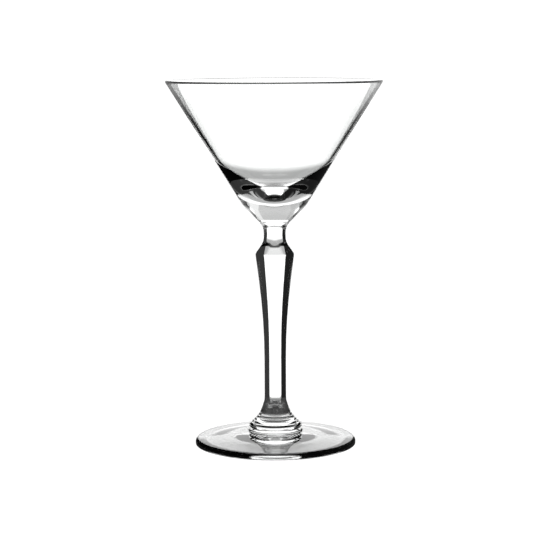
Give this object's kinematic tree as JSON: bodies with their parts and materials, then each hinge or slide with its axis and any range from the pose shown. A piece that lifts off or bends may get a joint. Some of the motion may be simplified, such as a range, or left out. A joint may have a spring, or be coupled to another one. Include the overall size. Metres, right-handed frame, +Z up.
{
  "type": "martini glass",
  "caption": "Clear stemmed cocktail glass: conical bowl, flared neck, hexagonal panelled stem with a shoulder, ribbed bell, round merese and disc foot.",
  "frame": {"origin": "centre of the circle that the foot's resting ring makes on the surface the glass stands on", "axes": "+Z up along the glass's axis, towards the rim; the middle of one of the stem's six panels faces -Y"},
  "size_m": [0.1022, 0.1022, 0.174],
  "materials": {
    "glass": "clear, fire-polished"
  },
  "bodies": {
    "root": {"bowl": "glass", "neck": "glass", "stem": "glass", "bell": "glass", "merese": "glass", "foot": "glass"}
  },
  "joints": []
}
